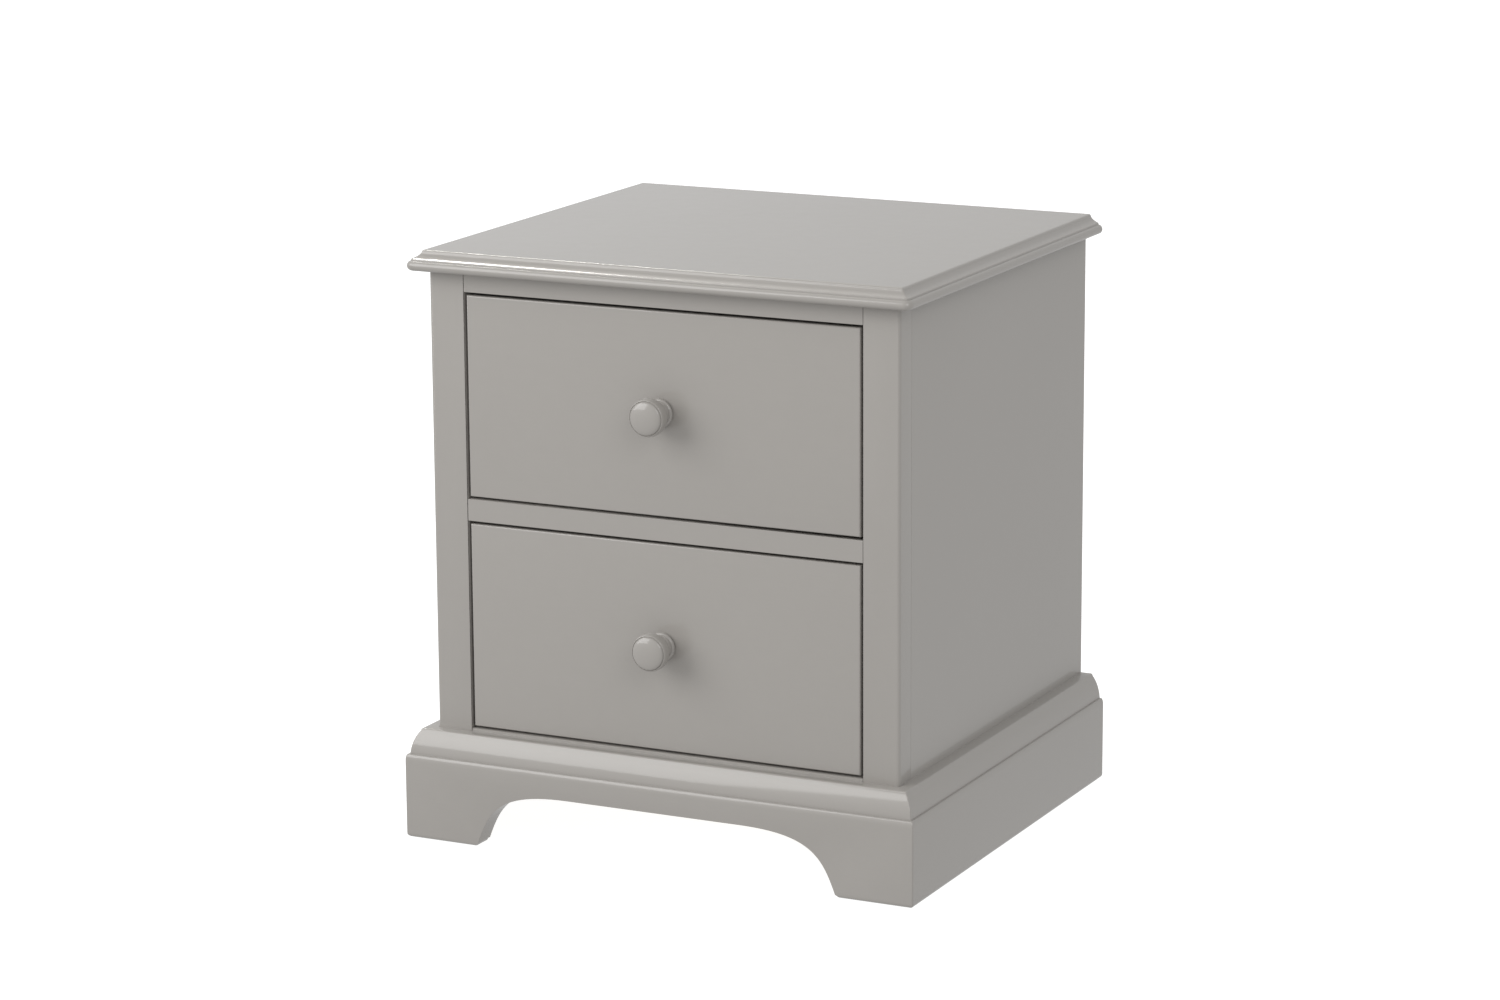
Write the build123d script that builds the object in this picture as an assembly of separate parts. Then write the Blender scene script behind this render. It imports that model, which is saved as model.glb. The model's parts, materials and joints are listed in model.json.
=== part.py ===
from build123d import *
import os

# A two-drawer nightstand: a face-frame case on a moulded plinth, with inset drawers on ball-bearing slides.
# Millimetres. X runs left to right, the drawers face -Y, Z is up. The origin is on the floor, at the middle
# of the overall width and of the overall depth from the knobs' tips to the back of the case.

# Case
case_width = 460.0
case_depth = 422.0
side_thickness = 16.0
post_width = 35.0
post_depth = 24.0
post_corner_radius = 3.0
seam_ease = 0.4
case_skirt = 40.5
joint_clearance = 0.1
joint_end_gap = 0.5
overrun = 1.0

# Side panel's tongue in the post
tongue_thickness = 5.0
tongue_length = 8.0

# Front openings, from the floor up
plinth_height = 102.5
bottom_rail_reveal = 2.5
lower_opening_height = 193.5
upper_opening_height = 188.5
middle_rail_height = 20.0
top_rail_height = 18.0
top_rail_depth = 40.0
back_rail_depth = 60.0
tenon_length = 12.0
tenon_thickness = 12.0
tenon_shoulder = 4.5

# Top
top_thickness = 18.0
top_arris_overhang = 5.0
top_arris_radius = 1.2
top_step = 2.2
cove_width = 6.5
cove_drop = 6.0
nose_radius = 4.9
nose_underside = 2.0
top_corner_radius = 8.0

# Plinth
plinth_thickness = 23.0
plinth_flat = 12.0
plinth_flat_radius = 1.2
ovolo_width = 7.4
ovolo_height = 22.0
ovolo_bulge = 0.9
ledge_drop = 1.0
ledge_width = 1.4
ledge_round_height = 6.0
plinth_corner_radius = 1.5
plinth_foot_radius = 2.5
arch_crown = 46.9
foot_width = 74.0
arch_shoulder = 93.0
arch_shoulder_pull = 70.0
arch_lean = 12.4
arch_lean_height = 36.0
arch_foot_radius = 3.0

# Feet
glide_projection = 1.0
glide_radius = 11.0
glide_thickness = 2.5
glide_nail_radius = 1.2
glide_nail_length = 14.0
block_size = 30.0

# Bottom and back
bottom_thickness = 12.0
bottom_drop = 5.0
housing_depth = 6.0
back_thickness = 6.0
back_rabbet = 8.0

# Drawers
front_thickness = 19.0
front_gap = 2.6
front_edge_radius = 1.6
box_board = 12.0
box_lift = 22.0
box_head_gap = 16.5
box_back_room = 37.0
tail_count = 4
tail_neck = 20.0
tail_slope = 1.0 / 6.0
drawer_bottom_thickness = 5.0
drawer_bottom_rise = 10.0
groove_depth = 6.0

# Knob, turned about an axis that points forward
knob_radius = 17.0
knob_projection = 32.0
knob_collar_radius = 13.3
knob_bead_radius = 2.2
knob_neck_radius = 10.0
knob_neck_height = 8.5
knob_neck_flare = 0.9
knob_head_flare = 3.6
knob_rim_start = 16.0
knob_rim_back = 4.5
knob_rim_end = 28.0
knob_rim_round = 4.2
knob_ring_radius = 15.0
knob_ring_width = 0.7
knob_ring_depth = 0.5
knob_bore_depth = 14.0
knob_rise = 1.4

# Slides
slide_thickness = 12.7
slide_height = 45.0
slide_rise = 75.0
slide_front_gap = 3.0
slide_back_gap = 7.0
slide_stop = 10.0
sheet = 1.2
track_gap = 3.8
ball_radius = 1.6
ball_count = 6
cage_sheet = 0.6
cage_end_margin = 5.0
cage_pocket_clearance = 0.15
outer_member_depth = 10.5
middle_web_offset = 3.0
outer_cage_offset = 1.8
outer_ball_offset = 6.6
inner_cage_offset = 4.8
inner_ball_offset = 8.3
inner_member_start = 6.6
cage_lip = 2.4
spacer_height = 60.0

# Fasteners; a bite is the thread's length in the last board, a cover is the wood left beyond the tip
case_screw_radius = 2.0
case_screw_head = 4.0
top_screw_bite = 12.0
plinth_front_screw_bite = 12.0
plinth_side_screw_bite = 14.0
plinth_screw_sink = 6.0
spacer_screw_cover = 5.0
slide_screw_length = 14.0
slide_screw_radius = 1.7
slide_screw_head = 3.4
drawer_slide_screw_cover = 1.2
front_screw_radius = 1.75
front_screw_head = 3.5
front_screw_cover = 6.0
knob_screw_radius = 2.0
knob_screw_head = 4.0
knob_screw_head_height = 2.4
pin_radius = 0.9
pin_length = 16.0
pin_head_radius = 1.8
pin_inset = 40.0
pin_pitch = 80.0
screw_inset = 60.0
screw_clearance = 0.05

# Planes and places that follow from the sizes above
front_y = (knob_projection - case_depth) / 2
back_y = front_y + case_depth
post_back_y = front_y + post_depth
back_panel_y = back_y - back_thickness
side_x = case_width / 2
side_inner_x = side_x - side_thickness
post_inner_x = side_x - post_width
box_x = post_inner_x - slide_thickness
case_bottom_z = plinth_height - case_skirt
opening_bottom_z = plinth_height + bottom_rail_reveal
middle_rail_z = opening_bottom_z + lower_opening_height
upper_opening_z = middle_rail_z + middle_rail_height
top_rail_z = upper_opening_z + upper_opening_height
case_top_z = top_rail_z + top_rail_height
bottom_panel_z = opening_bottom_z - bottom_drop - bottom_thickness
arch_height = plinth_height - glide_projection - arch_crown
arch_half_span = side_x + plinth_thickness - foot_width
box_front_y = front_y + front_thickness
box_height = upper_opening_height - box_lift - box_head_gap
box_length = case_depth - back_thickness - front_thickness - box_back_room
slide_y = box_front_y + slide_front_gap
slide_length = box_length - slide_front_gap - slide_back_gap
drawer_travel = slide_length - slide_stop
cage_y = slide_y + drawer_travel / 4 + cage_end_margin
cage_length = slide_length - drawer_travel / 2 - 2 * cage_end_margin
top_reach = top_arris_overhang + cove_width + nose_radius
plinth_screw_z = (case_bottom_z + bottom_panel_z) / 2
top_screw_length = top_rail_height + top_screw_bite
plinth_side_screw_length = side_thickness + plinth_side_screw_bite
plinth_front_screw_length = post_depth - plinth_screw_sink + plinth_front_screw_bite
spacer_screw_length = post_width - spacer_screw_cover
drawer_slide_screw_length = sheet + box_board - drawer_slide_screw_cover
front_screw_length = box_board + front_thickness - front_screw_cover
opening_bases = {"lower": opening_bottom_z, "upper": upper_opening_z}


def block(x0, x1, y0, y1, z0, z1):
    """A square-edged piece between two opposite corners."""
    centre = Pos((x0 + x1) / 2, (y0 + y1) / 2, (z0 + z1) / 2)
    return centre * Box(x1 - x0, y1 - y0, z1 - z0)


def other_side(piece):
    """The same piece on the other side of the nightstand's middle plane."""
    return mirror(piece, about=Plane.YZ)


def upright_edges(piece, *places):
    """The upright edges nearest to the given (x, y) places."""
    edges = piece.edges().filter_by(Axis.Z)
    return [edges.sort_by_distance(Vector(x, y, case_bottom_z))[0] for x, y in places]


def top_section(inner):
    """Section of the top's edge: x is outward from the case, y is up from the underside."""
    flat_end = (top_arris_overhang - top_arris_radius, top_thickness)
    step_start = (top_arris_overhang, top_thickness - top_arris_radius)
    step_end = (top_arris_overhang, step_start[1] - top_step)
    cove_end = (top_arris_overhang + cove_width, step_end[1] - cove_drop)
    nose_end = (cove_end[0] + nose_underside, 0)
    nose_peak = (cove_end[0] + nose_radius, cove_end[1] / 2)
    edges = [
        Line((-inner, 0), (-inner, top_thickness)),
        Line((-inner, top_thickness), flat_end),
        TangentArc(flat_end, step_start, tangent=(1, 0)),
        Line(step_start, step_end),
        EllipticalCenterArc((cove_end[0], step_end[1]), cove_width, cove_drop, start_angle=180, arc_size=90),
        ThreePointArc(cove_end, nose_peak, nose_end),
        Line(nose_end, (-inner, 0)),
    ]
    return Face(Wire(edges))


def plinth_section(inner):
    """Section of the plinth board: x is outward from the case, y is up from the floor."""
    flat_end = (plinth_flat, plinth_height)
    ovolo_start = (plinth_flat, plinth_height - plinth_flat_radius)
    ovolo_end = (plinth_flat + ovolo_width, plinth_height - ovolo_height)
    ledge_in = (ovolo_end[0], ovolo_end[1] - ledge_drop)
    ledge_out = (ovolo_end[0] + ledge_width, ledge_in[1])
    face_top = (plinth_thickness, ledge_out[1] - ledge_round_height)
    foot_side = (plinth_thickness, glide_projection + plinth_foot_radius)
    foot_under = (plinth_thickness - plinth_foot_radius, glide_projection)
    edges = [
        Line((-inner, glide_projection), (-inner, plinth_height)),
        Line((-inner, plinth_height), (flat_end[0] - plinth_flat_radius, plinth_height)),
        TangentArc((flat_end[0] - plinth_flat_radius, plinth_height), ovolo_start, tangent=(1, 0)),
        SagittaArc(ovolo_start, ovolo_end, ovolo_bulge),
        Line(ovolo_end, ledge_in),
        Line(ledge_in, ledge_out),
        TangentArc(face_top, ledge_out, tangent=(0, 1)),
        Line(face_top, foot_side),
        TangentArc(foot_side, foot_under, tangent=(0, -1)),
        Line(foot_under, (-inner, glide_projection)),
    ]
    return Face(Wire(edges))


def moulded_block(section, reach, corner_radius, base_z):
    """A block over the case's plan with one section on its front and both sides, square at the back.

    The section's front corners meet on a mitre, and beyond corner_radius inside the widest line they are
    turned about an upright axis, so that the corner is rounded in plan.
    """
    side_plane = Plane(origin=(side_x, back_y, base_z), x_dir=(1, 0, 0), z_dir=(0, -1, 0))
    front_plane = Plane(origin=(-side_x, front_y, base_z), x_dir=(0, -1, 0), z_dir=(-1, 0, 0))
    long_run = case_depth + reach
    right_half = extrude(side_plane * section(side_x), amount=long_run, dir=(0, -1, 0))
    sides = right_half + other_side(right_half)
    front = extrude(front_plane * section(case_depth), amount=reach, dir=(-1, 0, 0))
    front += extrude(front_plane * section(case_depth), amount=case_width + reach, dir=(1, 0, 0))
    body = sides & front
    axis_out = reach - corner_radius
    corner_plane = Plane(origin=(side_x, front_y - axis_out, base_z), x_dir=(1, 0, 0), z_dir=(0, -1, 0))
    tall = case_top_z + top_thickness
    keep = Rectangle(reach, tall, align=(Align.MIN, Align.MIN))
    beyond = section(side_x) & (Pos(axis_out, 0) * keep)
    axis = Axis((side_x + axis_out, front_y - axis_out, 0), (0, 0, 1))
    turned = revolve(corner_plane * beyond, axis=axis, revolution_arc=-90)
    far = reach + overrun
    square = block(
        side_x + axis_out, side_x + far, front_y - far, front_y - axis_out, base_z, base_z + tall
    )
    body = body - square - other_side(square)
    return body + turned + other_side(turned)


def countersunk_screw(length, radius, head_radius, spare=0.0):
    """A screw with a flat head at zero that points down; spare grows it into the hole that holds it."""
    head_height = head_radius - radius
    outline = Polyline(
        (0, 0),
        (head_radius + spare, 0),
        (radius + spare, -head_height - spare),
        (radius + spare, -length + 2 * radius),
        (0, -length - spare),
        close=True,
    )
    return revolve(Plane.XZ * make_face(outline), axis=Axis.Z)


def pan_screw(length, radius, head_radius, head_height, spare=0.0):
    """A screw with a raised round head above zero and a shank that points down."""
    head_edge = head_height / 3
    crown = TangentArc((0, head_height), (head_radius, head_edge), tangent=(1, 0))
    rest = Polyline(
        (0, head_height),
        (0, -length - spare),
        (radius + spare, -length - spare),
        (radius + spare, 0),
        (head_radius, 0),
        (head_radius, head_edge),
    )
    return revolve(Plane.XZ * make_face(crown + rest), axis=Axis.Z)


def shank_hole(length, radius):
    """The straight hole for a shank that starts at zero and points down."""
    return Pos(0, 0, -length / 2) * Cylinder(radius + screw_clearance, length)


def pointing(x, y, z, direction):
    """A place at a point where a shape drawn downwards points along the given direction instead."""
    return Plane(origin=(x, y, z), z_dir=-Vector(*direction)).location


def placed(shape, places):
    """One group of the same shape at each place."""
    return Compound(children=[place * shape for place in places])


def bored(piece, shape, places):
    """The piece with the shape cut out of it at each place."""
    for place in places:
        piece = piece - place * shape
    return piece


# The case


def side_panel():
    """The right side panel, with its tongue, back rabbet and housings for the bottom and the back rail."""
    panel = block(side_inner_x, side_x, post_back_y, back_y, case_bottom_z, case_top_z)
    panel = chamfer(upright_edges(panel, (side_x, post_back_y)), seam_ease)
    middle = side_x - side_thickness / 2
    half = tongue_thickness / 2
    panel += block(
        middle - half, middle + half, post_back_y - tongue_length, post_back_y, case_bottom_z, case_top_z
    )
    rabbet_x = side_inner_x + back_rabbet
    panel -= block(side_inner_x, rabbet_x, back_panel_y, back_y, bottom_panel_z, case_top_z)
    housing_x = side_inner_x + housing_depth
    slack = joint_clearance
    panel -= block(
        side_inner_x, housing_x + slack, post_back_y, back_panel_y,
        bottom_panel_z - slack, bottom_panel_z + bottom_thickness + slack,
    )
    panel -= block(
        side_inner_x, housing_x + slack, back_panel_y - back_rail_depth - slack, back_panel_y,
        top_rail_z - slack, case_top_z,
    )
    return panel


def front_post():
    """The right front post, with its groove for the side panel and its mortises for the rails."""
    post = block(post_inner_x, side_x, front_y, post_back_y, case_bottom_z, case_top_z)
    post = fillet(upright_edges(post, (side_x, front_y)), post_corner_radius)
    post = chamfer(upright_edges(post, (side_x, post_back_y), (post_inner_x, front_y)), seam_ease)
    middle = side_x - side_thickness / 2
    half = tongue_thickness / 2 + joint_clearance
    groove_y = post_back_y - tongue_length - joint_end_gap
    post -= block(middle - half, middle + half, groove_y, post_back_y, case_bottom_z, case_top_z)
    for low, high in rail_heights():
        post -= tenon(low, high, joint_clearance, joint_end_gap)
    return post


def rail_heights():
    """Bottom and top of each front rail, from the lowest rail up."""
    return [
        (case_bottom_z, opening_bottom_z),
        (middle_rail_z, upper_opening_z),
        (top_rail_z, case_top_z),
    ]


def tenon(low, high, spare=0.0, end_gap=0.0):
    """The tenon at a front rail's right end, or with spare its mortise in the post."""
    middle_y = front_y + post_depth / 2
    half = tenon_thickness / 2 + spare
    return block(
        post_inner_x - overrun, post_inner_x + tenon_length + end_gap, middle_y - half, middle_y + half,
        low + tenon_shoulder - spare, high - tenon_shoulder + spare,
    )


def front_rail(low, high, depth):
    """A front rail between the posts, with a tenon at each end and eased front edges and shoulders."""
    rail = block(-post_inner_x, post_inner_x, front_y, front_y + depth, low, high)
    face_edges = rail.faces().sort_by(Axis.Y)[0].edges()
    rail = chamfer(face_edges, seam_ease)
    right_tenon = tenon(low, high)
    return rail + right_tenon + other_side(right_tenon)


def bottom_rail():
    """The lowest front rail, grooved at its back for the bottom panel."""
    rail = front_rail(case_bottom_z, opening_bottom_z, post_depth)
    slack = joint_clearance
    return rail - block(
        -post_inner_x, post_inner_x, post_back_y - housing_depth - slack, post_back_y,
        bottom_panel_z - slack, bottom_panel_z + bottom_thickness + slack,
    )


def bottom_panel():
    """The case's bottom, housed in the sides and grooved into the bottom rail."""
    end_x = side_inner_x + housing_depth
    top_z = bottom_panel_z + bottom_thickness
    panel = block(-end_x, end_x, post_back_y, back_panel_y, bottom_panel_z, top_z)
    lip_x = post_inner_x - joint_clearance
    return panel + block(-lip_x, lip_x, post_back_y - housing_depth, post_back_y, bottom_panel_z, top_z)


def back_top_rail():
    """The flat rail behind the drawers that the top is screwed to, housed in the sides."""
    end_x = side_inner_x + housing_depth
    return block(-end_x, end_x, back_panel_y - back_rail_depth, back_panel_y, top_rail_z, case_top_z)


def back_panel():
    """The thin back, in the sides' rabbets, over the edges of the bottom and the back rail."""
    end_x = side_inner_x + back_rabbet - joint_clearance
    return block(-end_x, end_x, back_panel_y, back_y, bottom_panel_z, case_top_z)


def plinth_boards():
    """The three plinth boards, mitred at the front corners, with the arch in the front one."""
    whole = moulded_block(plinth_section, plinth_thickness, plinth_corner_radius, 0)
    whole -= block(-side_x, side_x, front_y, back_y, 0, plinth_height)
    reach = plinth_thickness + overrun
    far = side_x + reach
    near = front_y - reach
    wedge = make_face(Polyline((side_x, front_y), (far, near), (-far, near), (-side_x, front_y), close=True))
    front_zone = extrude(wedge, amount=plinth_height, dir=(0, 0, 1))
    arch = extrude(Plane.XZ.offset(-front_y) * arch_outline(), amount=reach, dir=(0, -1, 0))
    front_board = (whole & front_zone) - arch
    right_board = (whole - front_zone) & block(0, far, near, back_y, 0, plinth_height)
    return front_board, other_side(right_board), right_board


def arch_outline():
    """The cut-out under the plinth's front: a flat top whose ends sweep down to the feet."""
    base_z = glide_projection
    top_z = glide_projection + arch_height
    shoulder_x = arch_half_span - arch_shoulder
    foot_z = base_z + arch_foot_radius
    below = base_z - overrun
    edges = [Line((-shoulder_x, top_z), (shoulder_x, top_z))]
    for side in (-1, 1):
        foot = (side * arch_half_span, foot_z)
        floor = (side * (arch_half_span + arch_foot_radius), base_z)
        edges += [
            Bezier(
                (side * shoulder_x, top_z),
                (side * (shoulder_x + arch_shoulder_pull), top_z),
                (side * (arch_half_span - arch_lean), base_z + arch_lean_height),
                foot,
            ),
            TangentArc(foot, floor, tangent=(side * arch_lean, -arch_lean_height)),
            Line(floor, (floor[0], below)),
        ]
    end_x = arch_half_span + arch_foot_radius
    edges.append(Line((-end_x, below), (end_x, below)))
    return Face(Wire(edges))


def block_centres():
    """Middle of each corner block in plan: two behind the front feet and two at the back."""
    x = side_x - block_size / 2
    near = front_y + block_size / 2
    far = back_y - block_size / 2
    return [(side * x, y) for y in (near, far) for side in (-1, 1)]


def corner_block():
    """One block in the plinth's corner, from its glide up to the case."""
    half = block_size / 2
    body = block(-half, half, -half, half, glide_thickness, case_bottom_z)
    hole = Pos(0, 0, glide_thickness + glide_nail_length / 2)
    return body - hole * Cylinder(glide_nail_radius + screw_clearance, glide_nail_length)


def glide():
    """A nail-on glide with a slightly rounded rim."""
    disc = Pos(0, 0, glide_thickness / 2) * Cylinder(glide_radius, glide_thickness)
    disc = fillet(disc.edges().sort_by(Axis.Z)[0], glide_projection)
    nail = Pos(0, 0, glide_thickness + glide_nail_length / 2 - overrun)
    return disc + nail * Cylinder(glide_nail_radius, glide_nail_length)


# The slides, drawn for the right side of an opening


def channel(start, end, half_height, web_at_start, y0, length, middle_z):
    """A folded strip: a web and two flanges; start and end are distances in from the post's inner face."""
    outer = post_inner_x - start
    inner = post_inner_x - end
    shape = block(inner, outer, y0, y0 + length, middle_z - half_height, middle_z + half_height)
    hollow_outer = outer - sheet if web_at_start else outer
    hollow_inner = inner if web_at_start else inner + sheet
    hollow_half = half_height - sheet
    return shape - block(
        hollow_inner, hollow_outer, y0, y0 + length, middle_z - hollow_half, middle_z + hollow_half
    )


def member_half_heights():
    """Half the height of the cabinet, middle and drawer members, nested with a ball track between them."""
    outer = slide_height / 2
    middle = outer - sheet - track_gap
    inner = middle - sheet - track_gap
    return outer, middle, inner


def cabinet_member(middle_z):
    """The slide's fixed member, on the spacer."""
    member = channel(0, outer_member_depth, member_half_heights()[0], True, slide_y, slide_length, middle_z)
    hole = countersunk_screw(slide_screw_length, slide_screw_radius, slide_screw_head, screw_clearance)
    return bored(member, hole, cabinet_screw_places(middle_z))


def middle_member(middle_z):
    """The slide's telescoping member."""
    half = member_half_heights()[1]
    return channel(middle_web_offset, outer_member_depth, half, True, slide_y, slide_length, middle_z)


def drawer_member(middle_z):
    """The slide's inner member, on the drawer's side."""
    half = member_half_heights()[2]
    member = channel(inner_member_start, slide_thickness, half, False, slide_y, slide_length, middle_z)
    hole = shank_hole(slide_thickness, slide_screw_radius)
    return bored(member, hole, drawer_screw_places(middle_z))


def ball_cage(middle_z, web_offset, ball_offset, track_half):
    """A thin folded cage with a row of balls along its top and bottom."""
    x_out = post_inner_x - web_offset
    x_in = post_inner_x - ball_offset - cage_lip
    half = track_half + cage_sheet / 2
    cage = block(x_in, x_out, cage_y, cage_y + cage_length, middle_z - half, middle_z + half)
    cage -= block(
        x_in, x_out - cage_sheet, cage_y, cage_y + cage_length,
        middle_z - half + cage_sheet, middle_z + half - cage_sheet,
    )
    pitch = cage_length / ball_count
    places = [
        Pos(post_inner_x - ball_offset, cage_y + (index + 0.5) * pitch, middle_z + side * track_half)
        for index in range(ball_count)
        for side in (-1, 1)
    ]
    cage = bored(cage, Cylinder(ball_radius + cage_pocket_clearance, 4 * cage_sheet), places)
    return [cage] + [place * Sphere(ball_radius) for place in places]


def outer_track_half():
    """Height of the ball centres between the cabinet and middle members, from the slide's middle."""
    return member_half_heights()[0] - sheet - track_gap / 2


def inner_track_half():
    """Height of the ball centres between the middle and drawer members, from the slide's middle."""
    return member_half_heights()[1] - sheet - track_gap / 2


def slide_screw_rows():
    """Distance of each slide screw from the slide's front end."""
    return [screw_inset, slide_length / 2, slide_length - screw_inset]


def cabinet_screw_places(middle_z):
    """Places of the right cabinet member's screws, heads flush with the web."""
    x = post_inner_x - sheet
    return [pointing(x, slide_y + row, middle_z, (1, 0, 0)) for row in slide_screw_rows()]


def drawer_screw_places(middle_z):
    """Places of the right drawer member's screws, heads on the inside of the web."""
    x = box_x + sheet
    return [pointing(x, slide_y + row, middle_z, (-1, 0, 0)) for row in slide_screw_rows()]


def spacer_screw_places(middle_z):
    """Places of the screws that hold the right spacer to the side panel."""
    first = (slide_screw_rows()[0] + slide_screw_rows()[1]) / 2
    last = (slide_screw_rows()[1] + slide_screw_rows()[2]) / 2
    return [pointing(post_inner_x, slide_y + row, middle_z, (1, 0, 0)) for row in (first, last)]


def slide_spacer(middle_z):
    """The right packing strip that brings the slide out to the post's inner edge."""
    half = spacer_height / 2
    strip = block(
        post_inner_x, side_inner_x, post_back_y, back_panel_y, middle_z - half, middle_z + half
    )
    slide_hole = countersunk_screw(slide_screw_length, slide_screw_radius, slide_screw_head, screw_clearance)
    strip = bored(strip, slide_hole, cabinet_screw_places(middle_z))
    return bored(strip, case_screw(spacer_screw_length, screw_clearance), spacer_screw_places(middle_z))


# Fastener places in the case


def case_screw(length, spare=0.0):
    """One of the screws that hold the case together, or with spare the hole that it fills."""
    return countersunk_screw(length, case_screw_radius, case_screw_head, spare)


def opening_spacer_screw_places():
    """Places of the right spacers' screws in both openings."""
    lower, upper = (spacer_screw_places(base_z + slide_rise) for base_z in opening_bases.values())
    return lower + upper


def top_screw_places():
    """Screws that go up through the front and back rails into the top."""
    x = post_inner_x - screw_inset
    front = front_y + (post_depth + top_rail_depth) / 2
    back = back_panel_y - back_rail_depth / 2
    return [pointing(side * x, y, top_rail_z, (0, 0, 1)) for y in (front, back) for side in (-1, 1)]


def plinth_side_screw_places():
    """Screws from inside the right side panel into the plinth."""
    rows = (post_back_y + screw_inset, back_panel_y - screw_inset)
    return [pointing(side_inner_x, y, plinth_screw_z, (1, 0, 0)) for y in rows]


def plinth_front_screw_places():
    """Screws from behind the bottom rail into the plinth's front, sunk into the rail."""
    y = post_back_y - plinth_screw_sink
    x = post_inner_x - screw_inset
    return [pointing(side * x, y, plinth_screw_z, (0, -1, 0)) for side in (-1, 1)]


def screw_entry():
    """The sunk entry behind the head of a screw in the bottom rail."""
    return Pos(0, 0, plinth_screw_sink / 2) * Cylinder(case_screw_head + joint_end_gap, plinth_screw_sink)


def pin_places():
    """Pins along the back panel's lower and upper edges."""
    low = bottom_panel_z + bottom_thickness / 2
    high = top_rail_z + top_rail_height / 2
    outer = side_inner_x - pin_inset
    xs = [side * x for side in (-1, 1) for x in (outer, outer - pin_pitch)]
    return [pointing(x, back_y, z, (0, -1, 0)) for z in (low, high) for x in xs]


# The drawers, drawn for an opening whose lower edge is at base_z


def opening_top(base_z):
    """Top of the opening that starts at a height."""
    return middle_rail_z if base_z < middle_rail_z else top_rail_z


def drawer_front(base_z):
    """The painted front, inset in its opening with an even gap and eased edges."""
    half = post_inner_x - front_gap
    low = base_z + front_gap
    high = opening_top(base_z) - front_gap
    front = block(-half, half, front_y, box_front_y, low, high)
    return fillet(front.faces().sort_by(Axis.Y)[0].edges(), front_edge_radius)


def box_levels(base_z):
    """Bottom and top of the drawer's box."""
    low = base_z + box_lift
    return low, low + box_height


def dovetail_side(base_z):
    """The box's right side, with a row of tails at each end."""
    low, high = box_levels(base_z)
    back = box_front_y + box_length
    side = block(box_x - box_board, box_x, box_front_y + box_board, back - box_board, low, high)
    pitch = box_height / tail_count
    neck = tail_neck / 2
    flare = neck + box_board * tail_slope
    for index in range(tail_count):
        z = low + (index + 0.5) * pitch
        for end_y, shoulder_y in ((box_front_y, box_front_y + box_board), (back, back - box_board)):
            corners = Polyline(
                (shoulder_y, z - neck), (shoulder_y, z + neck), (end_y, z + flare), (end_y, z - flare),
                close=True,
            )
            side += extrude(Plane.YZ.offset(box_x) * make_face(corners), amount=box_board, dir=(-1, 0, 0))
    return side


def bottom_groove(base_z, spare=0.0):
    """The space that the drawer's bottom takes in the box's four boards."""
    low = box_levels(base_z)[0] + drawer_bottom_rise
    reach = groove_depth + spare
    inner = box_x - box_board + reach
    front = box_front_y + box_board - reach
    back = box_front_y + box_length - box_board + reach
    return block(-inner, inner, front, back, low - spare, low + drawer_bottom_thickness + spare)


def drawer_box(base_z):
    """The box's front, left side, right side, back and bottom."""
    low, high = box_levels(base_z)
    right = dovetail_side(base_z)
    left = other_side(right)
    back_y_end = box_front_y + box_length
    front = block(-box_x, box_x, box_front_y, box_front_y + box_board, low, high) - right - left
    back = block(-box_x, box_x, back_y_end - box_board, back_y_end, low, high) - right - left
    groove = bottom_groove(base_z, joint_clearance)
    hole = shank_hole(drawer_slide_screw_length - sheet, slide_screw_radius)
    places = [Pos(-sheet, 0, 0) * place for place in drawer_screw_places(base_z + slide_rise)]
    right = bored(right - groove, hole, places)
    return front - groove, other_side(right), right, back - groove, bottom_groove(base_z)


def knob_height(base_z):
    """The knob sits just above the middle of the drawer's front."""
    return (base_z + opening_top(base_z)) / 2 + knob_rise


def knob_outline():
    """Half of the knob's section: x is out from its axis, y is forward from the drawer's front."""
    bead_x = knob_collar_radius - knob_bead_radius
    bead_top = 2 * knob_bead_radius
    neck_foot = (knob_neck_radius + knob_neck_flare, bead_top)
    neck_head = (knob_neck_radius + knob_head_flare, knob_rim_start)
    rim_back = (knob_radius, knob_rim_start + knob_rim_back)
    rim_front = (knob_radius, knob_rim_end - knob_rim_round)
    ring_outer = (knob_ring_radius + knob_ring_width, knob_rim_end)
    ring_floor = (knob_ring_radius + knob_ring_width / 2, knob_rim_end - knob_ring_depth)
    ring_inner = (knob_ring_radius, knob_rim_end)
    edges = [
        Line((0, 0), (bead_x, 0)),
        ThreePointArc((bead_x, 0), (knob_collar_radius, knob_bead_radius), (bead_x, bead_top)),
        Line((bead_x, bead_top), neck_foot),
        ThreePointArc(neck_foot, (knob_neck_radius, knob_neck_height), neck_head),
        TangentArc(rim_back, neck_head, tangent=(0, -1)),
        Line(rim_back, rim_front),
        TangentArc(rim_front, ring_outer, tangent=(0, 1)),
        Line(ring_outer, ring_floor),
        Line(ring_floor, ring_inner),
        TangentArc((0, knob_projection), ring_inner, tangent=(1, 0)),
        Line((0, knob_projection), (0, 0)),
    ]
    return Face(Wire(edges))


def knob(base_z):
    """The turned knob: collar, neck, rounded rim and a low dome inside an incised ring."""
    body = revolve(Plane.XZ * knob_outline(), axis=Axis.Z)
    bore = Pos(0, 0, knob_bore_depth / 2) * Cylinder(knob_screw_radius + screw_clearance, knob_bore_depth)
    turned = Plane(origin=(0, front_y, knob_height(base_z)), z_dir=(0, -1, 0)).location
    return turned * (body - bore)


def knob_screw_place(base_z):
    """The knob's screw starts on the inside of the box's front."""
    return pointing(0, box_front_y + box_board, knob_height(base_z), (0, -1, 0))


def knob_screw_length():
    """The knob's screw reaches through both boards and most of the knob's bore."""
    return box_board + front_thickness + knob_bore_depth - joint_end_gap


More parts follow.
